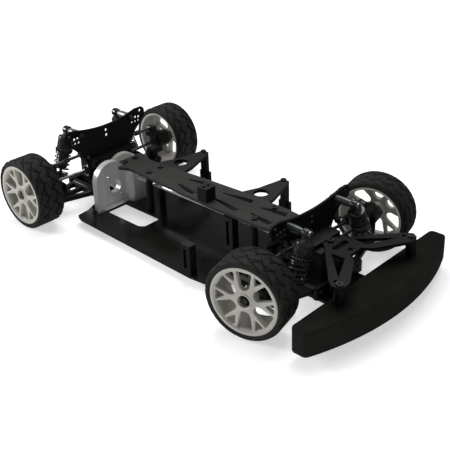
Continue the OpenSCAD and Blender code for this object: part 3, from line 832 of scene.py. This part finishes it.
def eyelet(depth, bore, half):
    """A rounded ring across X: the ring's section is a rectangle with round corners."""
    turn = np.linspace(0, np.pi / 2, 5)
    corner = np.stack([3.1 + 0.7 * np.sin(turn), half - 0.7 + 0.7 * np.cos(turn)], -1)
    other = corner[::-1] * [1, -1]
    ring = np.vstack([[(bore, half)], corner, other, [(bore, -half), (bore, half)]])
    return shifted(along_x(lathe(ring, 36)), 0, 0, -depth)


def shock_body_shapes(end):
    """Eyelet, ribbed cap, knurled collar and threaded cylinder, all turned about the shock's axis.
    """
    foot = -shock_length(end)
    cap_profile = [
        (2.6, -1.8), (3.4, -4.2), (4.4, -5.3), (6.3, -5.7), (6.85, -6.3), (7.0, -7.2), (7.0, -9.0),
        (6.6, -9.3), (6.6, -9.9), (7.0, -10.2), (7.0, -14.2), (6.6, -14.5), (6.6, -15.1),
        (7.0, -15.4), (6.9, -16.6), (6.2, -16.9), (5.4, -17.0), (2.6, -17.0), (2.6, -1.8),
    ]
    thread_z = np.linspace(-17.0, foot + 19.0, 60)
    thread_r = 5.35 + 0.2 * np.abs((np.arange(60) % 4) - 2) / 2
    barrel = np.vstack(
        [
            [(1.7, -17.0)],
            np.stack([thread_r, thread_z], -1),
            [(5.2, foot + 18.0), (4.6, foot + 17.1), (1.7, foot + 17.0), (1.7, -17.0)],
        ]
    )
    angle = np.linspace(0, 2 * np.pi, 96, endpoint=False)
    knurl = 1 + 0.03 * np.cos(24 * angle)
    ring = np.array([(5.3, -17.4), (7.3, -17.4), (7.7, -17.8), (7.7, -19.6), (7.4, -SEAT_UPPER),
                     (5.3, -SEAT_UPPER)])
    radius = ring[:, 0] * np.where(ring[:, 0] > 7, knurl[:, None], 1)
    collar = np.stack(
        [
            radius * np.cos(angle)[:, None], radius * np.sin(angle)[:, None],
            np.broadcast_to(ring[:, 1], radius.shape),
        ],
        -1,
    )
    shapes = [
        eyelet(0, 2.05, EYE_HALF), lathe(cap_profile, 64), lathe(barrel, 48),
        grid(collar, True, True),
    ]
    return [on_shock(shape, end) for shape in shapes]


def shock_rod_shapes(end):
    """Lower eyelet, tapered rod end, dished spring seat and the polished rod."""
    foot = -shock_length(end)
    seat = [
        (1.55, foot + 9.0), (5.2, foot + 9.0), (5.5, foot + 9.6), (7.1, foot + 9.0),
        (7.4, foot + 8.7), (7.4, foot + 7.6), (6.2, foot + 7.0), (3.2, foot + 6.4),
        (2.9, foot + 3.0), (1.55, foot + 3.0), (1.55, foot + 9.0),
    ]
    rod = [(0.001, foot + 16.0), (1.5, foot + 16.0), (1.5, foot + 3.0), (0.001, foot + 3.0)]
    shapes = [eyelet(-foot, 2.15, EYE_HALF), lathe(seat, 56), lathe(rod, 24)]
    return [on_shock(shape, end) for shape in shapes]


def coil_path(end, turns):
    """The spring's centre line: a circle climbing evenly, with its first and last three quarters of
    a turn closed up flat.
    """
    foot = -shock_length(end)
    end_gap = 0.6
    low, high = foot + SEAT_LOWER + end_gap, -SEAT_UPPER - end_gap
    t = np.linspace(0, 1, int(turns * 40))
    round_ = 2 * np.pi * turns * t
    flat = 0.75 / turns
    rise = np.clip((t - flat) / (1 - 2 * flat), 0, 1)
    rise = 0.06 * t + 0.94 * (rise * rise * (3 - 2 * rise) * 0.25 + rise * 0.75)
    rise /= rise[-1]
    return np.stack(
        [COIL_RADIUS * np.cos(round_), COIL_RADIUS * np.sin(round_), high + (low - high) * rise], -1
    )


class DRIFTCAR_OT_shocks(bpy.types.Operator):
    """Build the four shock absorbers with their springs"""

    bl_idname = "driftcar.shocks"
    bl_label = "Shock absorbers"

    def execute(self, context):
        gloss = finish(
            "shock_black", (0.008, 0.01, 0.01), (0.02, 0.024, 0.023), (0.2, 0.32), blotch=80,
            bump=0.1, coat=0.3
        )
        wire = finish(
            "spring_wire", (0.012, 0.012, 0.012), (0.03, 0.03, 0.03), (0.22, 0.34), coat=0.4
        )
        for end, side in CORNERS:
            name = f"{end}_{side}"
            body, rod = f"{name}_shock_body", f"{name}_shock_rod"
            shapes = [at_corner(shape, end, side) for shape in shock_body_shapes(end)]
            piece(f"{name}_shock_cylinder", shapes, body, gloss, [body])
            shapes = [at_corner(shape, end, side) for shape in shock_rod_shapes(end)]
            piece(f"{name}_shock_piston_rod", shapes, rod, black_nylon(), [rod])
            path = coil_path(end, 5.5 if end == "front" else 7.0)
            coil = at_corner(on_shock(tube(path, sizes().coil_wire, 10), end), end, side)
            spring = piece(
                f"{name}_coil_spring", [coil], None, wire, [f"{name}_spring"]
            )
            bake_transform(spring)
        return {"FINISHED"}


# -------- bumper


def foam_outline(inset):
    """The foam's outline from above, inset by some millimetres: a straight back, a front on a
    circle of 224 mm and corners of 4 mm.
    """
    corner = 4.0
    centre_x, nose, half, back = -41.75, 224.0 - corner, 87.5 - corner, 151.0 + corner
    bow = math.asin(half / nose)
    reach = corner - inset
    arc = np.linspace(-bow, bow, 90)
    front = np.stack([np.cos(arc), np.sin(arc)], -1)
    turns = [(-np.pi, -np.pi / 2), (-np.pi / 2, -bow), (bow, np.pi / 2), (np.pi / 2, np.pi)]
    side_x = centre_x + nose * math.cos(bow)
    at = [(back, -half), (side_x, -half), (side_x, half), (back, half)]
    corners = []
    for (a0, a1), p in zip(turns, at):
        a = np.linspace(a0, a1, 10)
        corners.append(np.array(p) + reach * np.stack([np.cos(a), np.sin(a)], -1))
    nose_line = np.array([centre_x, 0]) + (nose + reach) * front[1:-1]
    return np.vstack([corners[0], corners[1], nose_line, corners[2], corners[3]])


def foam_shapes(rounding):
    """The foam block: its outline goes up the wall and turns over in a quarter circle at the top
    and the bottom edge.
    """
    low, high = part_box("bumper_foam")
    bottom, top = low.z / MM, high.z / MM
    turn = np.linspace(0, np.pi / 2, 6)
    inset = rounding * (1 - np.sin(turn))
    drop = rounding * (1 - np.cos(turn))
    steps = list(zip(inset, bottom + drop)) + list(zip(inset[::-1], top - drop[::-1]))
    outlines = [foam_outline(i) for i, _ in steps]
    rings = [
        np.column_stack([loop, np.full(len(loop), z)]) for loop, (_, z) in zip(outlines, steps)
    ]
    rings = np.stack(rings, 1)
    wall = grid(rings, close_u=True)
    lid = cap([rings[:, -1, :2]], lambda x, y: np.full_like(x, top))
    base = cap([rings[:, 0, :2]], lambda x, y: np.full_like(x, bottom))
    return [wall, lid, base]


class DRIFTCAR_OT_bumper(bpy.types.Operator):
    """Build the foam bumper"""

    bl_idname = "driftcar.bumper"
    bl_label = "Foam bumper"

    def execute(self, context):
        made = piece(
            "foam_bumper",
            foam_shapes(sizes().foam_rounding),
            "chassis",
            foam_finish(palette().foam),
            ["bumper_foam"],
            crease=60,
        )
        return {"FINISHED"}


# -------- plates and moulded parts


def tower_outline(top, ear):
    """One tower's outline across the car: straight feet, flared sides, round ears, and a top edge
    that hangs in a parabola between them.
    """
    reach, steps = 36, 7
    inner = np.linspace(reach, -reach, 31)
    hang = np.column_stack([inner, top + (ear - top) * (inner / reach) ** 2])
    right = [
        (-16.1, 22, 0.5), (-16.1, 44.1, 1), (16.1, 44.1, 1), (16.1, 22, 0.5), (24, 22, 1.5),
        (24, 39, 5),
    ]
    # The corner in the middle only keeps the ears level, and the hanging edge takes its place
    ears = [(47, ear - 9, 3), (47, ear, 4), (0, ear, 0.1), (-47, ear, 4), (-47, ear - 9, 3)]
    left = [(-30, 50.5, 8), (-24, 39, 5), (-24, 22, 1.5)]
    lower = rounded([*right, (30, 50.5, 8), *ears, *left], steps)
    middle_corner = len(right) + 3
    before, after = lower[: steps * middle_corner], lower[steps * (middle_corner + 1) :]
    return np.vstack([before, hang, after])


def tower_holes(top, ear, stud):
    """The tower's holes: those its studs and screws pass through, two rows of small ones for other
    shock positions, and the body post holes.
    """
    found = [circle(0, top - 5 - 5 * k, 1.5) for k in range(2)]
    for side in (-1, 1):
        through = ((*stud, 2), (25, 47, 1.5), (19.5, 40, 1.5))
        found += [circle(side * y, z, radius) for y, z, radius in through]
        found += [circle(side * (32.4 + 3.7 * k), ear - 8 - 0.5 * k, 1.45) for k in range(3)]
        found += [circle(side * (31.6 + 3.9 * k), ear - 12.6, 1.2) for k in range(3)]
        found.append(circle(side * 42, ear - 3.4, 1.5))
    return found


def tower_shapes(end):
    """One tower's plate, standing across the car with its outer face where the studs' sleeves
    begin.
    """
    top, ear = TOWERS[end]
    stud = SHOCKS[end][0]
    # Its lower side: the front tower stands behind its axle, the rear one before its own
    face = AXLE_X["front"] - 8.4 if end == "front" else AXLE_X["rear"] + 6
    shapes = plate(tower_outline(top, ear), tower_holes(top, ear, stud), TOWER_THICKNESS)
    return [shifted(along_x(shape), face, 0, 0) for shape in shapes]


def sleeve(end):
    """The bullet-shaped spacer on one shock's stud, turned about X, from the tower out to the
    shock's eyelet.
    """
    inner, tower, eye = 2.0, -5.95, 8.9
    nose = [(2.8, tower), (3.2, -5.5), (3.3, -4.5), (3.3, 2), (3.1, 5), (2.6, 7.8), (2.3, eye)]
    turned = lathe([(inner, tower), *nose, (inner, eye), (inner, tower)], 40)
    (y, z), _ = SHOCKS[end]
    return shifted(along_x(turned), 0, y, z)


class DRIFTCAR_OT_fittings(bpy.types.Operator):
    """Build the shock towers, the sleeves on the shocks' studs and the screw heads"""

    bl_idname = "driftcar.fittings"
    bl_label = "Towers, sleeves and screws"

    def execute(self, context):
        shapes = [*tower_shapes("front"), *tower_shapes("rear")]
        piece(
            "drilled_shock_towers", shapes, "chassis", black_plate(), ["shock_towers"],
        )
        smoked = finish(
            "smoked_sleeve", (0.02, 0.028, 0.026), (0.04, 0.052, 0.048), (0.14, 0.24), coat=0.4,
            blotch=90,
        )
        pale = finish(
            "pale_sleeve", (0.3, 0.31, 0.31), (0.42, 0.43, 0.43), (0.25, 0.35), metallic=0.7,
            blotch=90,
        )
        for end, made in (("front", smoked), ("rear", pale)):
            shapes = [at_corner(sleeve(end), end, side) for side in SIDES]
            piece(f"{end}_shock_stud_sleeves", shapes, "chassis", made, ())
        heads = []
        for end, side in CORNERS:
            # How far out each head stands, where it is across the car, and its radius
            rows = (
                (14.85, SHOCKS[end][0], 2.9), (-4.4, (19.5, 40.0), 2.5), (2.6, (25.0, 47.0), 2.2)
            )
            for u, place, size in rows:
                head = shifted(along_x(button_screw(size, 1.5)), u, *place)
                heads.append(at_corner(head, end, side))
        piece("socket_screw_heads", heads, "chassis", bright_steel(), (), crease=30)
        return {"FINISHED"}


class DRIFTCAR_OT_plates(bpy.types.Operator):
    """Finish the plates and the moulded parts of the chassis"""

    bl_idname = "driftcar.plates"
    bl_label = "Plates and mouldings"

    def execute(self, context):
        chassis = finish(
            "chassis_gloss", *around(palette().chassis, 0.25), (0.16, 0.22), specular=0.35,
            blotch=18, grain=300, bump=0.015
        )
        deck = finish(
            "deck_matte", *around(palette().deck, 0.1), (0.55, 0.68), specular=0.2, blotch=40,
            bump=0.2,
        )
        cad_finish(chassis, "chassis_plate")
        cad_finish(deck, "upper_deck")
        cad_finish(black_plate(), "bumper_brace")
        cad_finish(black_nylon(), "gearbox_housings", "battery_brackets", "servo_mounts")
        return {"FINISHED"}


def blacken_posts(node):
    """Gives the upright posts, which are all the faces well below the screw heads and away from the
    axles, a black second slot.
    """
    node.data.materials.append(black_nylon())
    faces = node.data.polygons
    centre = np.empty(3 * len(faces))
    faces.foreach_get("center", centre)
    x, _, z = centre.reshape(-1, 3).T / MM
    under_deck = (x > -100) & (x < 80) & (z < 43.9)
    under_brace = (x > 140) & (z < 42.9)
    faces.foreach_set("material_index", (under_deck | under_brace).astype(np.int32))


class DRIFTCAR_OT_metal(bpy.types.Operator):
    """Finish the motor mount, the shaft, the gears and the posts"""

    bl_idname = "driftcar.metal"
    bl_label = "Metal parts"

    def execute(self, context):
        mount = finish(
            "brushed_mount",
            *around(palette().mount, 0.12),
            (0.3, 0.42),
            metallic=0.45,
            blotch=120,
            stretch=(1, 1, 0.12),
            bump=0.1,
        )
        shaft = finish(
            "mirror_shaft", (0.85, 0.85, 0.86), (0.93, 0.93, 0.94), (0.16, 0.24), metallic=0.5,
            stretch=(0.1, 1, 1),
        )
        gear = finish("white_gear_nylon", *around(palette().gear, 0.05), (0.35, 0.45), bump=0.05)
        cad_finish(mount, "motor_mount")
        cad_finish(shaft, "centre_shaft")
        cad_finish(gear, "spur_gear")
        cad_finish(dark_alloy(), "posts_pins_and_screws", "drag_link")
        blacken_posts(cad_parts["posts_pins_and_screws"])
        cad_finish(bright_steel(), "front_differential", "rear_differential")
        # The four driveshafts are one part: a painted highlight gives the near rear one bright
        # steel, and painted shade gives the other three dark alloy
        cad_finish(bright_steel(), "rear_right_driveshaft")
        cad_finish(
            dark_alloy(), "rear_left_driveshaft", "front_left_driveshaft", "front_right_driveshaft"
        )
        for end, side in CORNERS:
            cad_finish(dark_alloy(), f"{end}_{side}_axle", f"{end}_{side}_camber_link")
        for side in SIDES:
            cad_finish(dark_alloy(), f"front_{side}_tie_rod")
        return {"FINISHED"}


class DRIFTCAR_OT_suspension(bpy.types.Operator):
    """Finish the arms, carriers, knuckles and the steering crank"""

    bl_idname = "driftcar.suspension"
    bl_label = "Suspension mouldings"

    def execute(self, context):
        for end, side in CORNERS:
            cad_finish(black_nylon(), f"{end}_{side}_arm", f"{end}_{side}_hub_carrier")
        for side in SIDES:
            cad_finish(black_nylon(), f"front_{side}_knuckle")
        cad_finish(black_nylon(), "steering_crank")
        return {"FINISHED"}


# -------- stage


def camera_matrix(azimuth, elevation, roll, target, distance):
    """Where the camera stands: it looks at target from that azimuth and elevation, rolled about its
    own line of sight.
    """
    back = Vector(
        (
            math.sin(azimuth) * math.cos(elevation), -math.cos(azimuth) * math.cos(elevation),
            math.sin(elevation),
        )
    )
    right = Vector((0, 0, 1)).cross(back).normalized()
    up = back.cross(right)
    x = math.cos(roll) * right + math.sin(roll) * up
    y = -math.sin(roll) * right + math.cos(roll) * up
    matrix = Matrix((x, y, back)).transposed().to_4x4()
    matrix.translation = Vector(target) + back * distance
    return matrix


def softbox(name, location, target, size, watts):
    """A square area light at location that faces target."""
    data = bpy.data.lights.new(name, "AREA")
    data.shape = "SQUARE"
    data.size = size
    data.energy = watts
    lamp = bpy.data.objects.new(name, data)
    bpy.context.scene.collection.objects.link(lamp)
    lamp.location = location
    lamp.rotation_euler = (Vector(target) - Vector(location)).to_track_quat("-Z", "Y").to_euler()


class DRIFTCAR_OT_stage(bpy.types.Operator):
    """Set up the camera, the floor and the lights"""

    bl_idname = "driftcar.stage"
    bl_label = "Stage"

    def execute(self, context):
        scene = context.scene
        data = bpy.data.cameras.new("camera")
        camera = bpy.data.objects.new("camera", data)
        scene.collection.objects.link(camera)
        azimuth, elevation, roll = (math.radians(a) for a in (44.487, 25.45, -2.115))
        target, distance = (0.01314, 0, 0.06168), 0.70094
        camera.matrix_world = camera_matrix(azimuth, elevation, roll, target, distance)
        data.lens, data.sensor_width = 68.91, 36
        data.shift_x, data.shift_y = -0.0067, -0.0999
        data.clip_start, data.clip_end = 0.02, 20
        scene.camera = camera

        steps = np.linspace(-4, 4, 9)
        plane = np.stack(np.meshgrid(steps, steps, [-0.0004], indexing="ij"), -1)[:, :, 0]
        points, faces = grid(plane)
        mesh = bpy.data.meshes.new("floor")
        mesh.from_pydata(points.tolist(), [], faces.tolist())
        floor = bpy.data.objects.new("floor", mesh)
        scene.collection.objects.link(floor)
        pale = finish(
            "pale_floor", (0.9, 0.9, 0.9), (0.92, 0.92, 0.92), (0.7, 0.8), specular=0.1, blotch=3,
            bump=0,
        )
        glow = pale.node_tree.nodes["Principled BSDF"].inputs
        glow["Emission Color"].default_value = (1, 1, 1, 1)
        glow["Emission Strength"].default_value = 0.55
        mesh.materials.append(pale)
        floor.visible_glossy = False

        world = scene.world or bpy.data.worlds.new("world")
        scene.world = world
        world.use_nodes = True
        tree = world.node_tree
        dim = tree.nodes["Background"]
        dim.inputs["Color"].default_value = (1, 1, 1, 1)
        dim.inputs["Strength"].default_value = 0.15
        # What the camera sees past the floor's edge is as pale as the floor
        pale = tree.nodes.new("ShaderNodeBackground")
        pale.inputs["Color"].default_value = (1, 1, 1, 1)
        pale.inputs["Strength"].default_value = 0.9
        seen = tree.nodes.new("ShaderNodeLightPath")
        blend = tree.nodes.new("ShaderNodeMixShader")
        tree.links.new(seen.outputs["Is Camera Ray"], blend.inputs["Fac"])
        tree.links.new(dim.outputs["Background"], blend.inputs[1])
        tree.links.new(pale.outputs["Background"], blend.inputs[2])
        tree.links.new(blend.outputs["Shader"], tree.nodes["World Output"].inputs["Surface"])
        softbox("overhead", (-0.3, 0.5, 1.5), (0, 0, 0), 1.2, 16)
        softbox("left", (-1.05, -0.72, 0.5), (-0.15, 0, 0.03), 0.45, 10)
        softbox("front", (1.5, -0.2, 1.0), (0, 0, 0.03), 0.5, 0.5)
        scene.view_settings.view_transform = "Standard"
        return {"FINISHED"}


# -------- panel


OPERATORS = (
    DRIFTCAR_OT_plates,
    DRIFTCAR_OT_fittings,
    DRIFTCAR_OT_metal,
    DRIFTCAR_OT_suspension,
    DRIFTCAR_OT_tyres,
    DRIFTCAR_OT_rims,
    DRIFTCAR_OT_shocks,
    DRIFTCAR_OT_bumper,
    DRIFTCAR_OT_stage,
)


class DRIFTCAR_PT_panel(bpy.types.Panel):
    """Lists the sizes, the colours and the steps"""

    bl_idname = "DRIFTCAR_PT_panel"
    bl_label = "Drift car"
    bl_space_type = "VIEW_3D"
    bl_region_type = "UI"
    bl_category = "Drift car"

    def draw(self, context):
        for group in (sizes(), palette()):
            box = self.layout.box()
            for name in group.__annotations__:
                box.prop(group, name)
        for operator in OPERATORS:
            self.layout.operator(operator.bl_idname)


CLASSES = (DriftCarSizes, DriftCarColours, *OPERATORS, DRIFTCAR_PT_panel)


def register():
    """Registers the classes and puts the two groups of settings on the scene."""
    for cls in CLASSES:
        bpy.utils.register_class(cls)
    bpy.types.Scene.drift_car_sizes = PointerProperty(type=DriftCarSizes)
    bpy.types.Scene.drift_car_colours = PointerProperty(type=DriftCarColours)


def unregister():
    """Undoes register."""
    del bpy.types.Scene.drift_car_colours
    del bpy.types.Scene.drift_car_sizes
    for cls in reversed(CLASSES):
        bpy.utils.unregister_class(cls)


def main():
    """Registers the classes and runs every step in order."""
    register()
    for operator in OPERATORS:
        group, name = operator.bl_idname.split(".")
        getattr(getattr(bpy.ops, group), name)()
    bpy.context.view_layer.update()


if __name__ == "__main__":
    main()
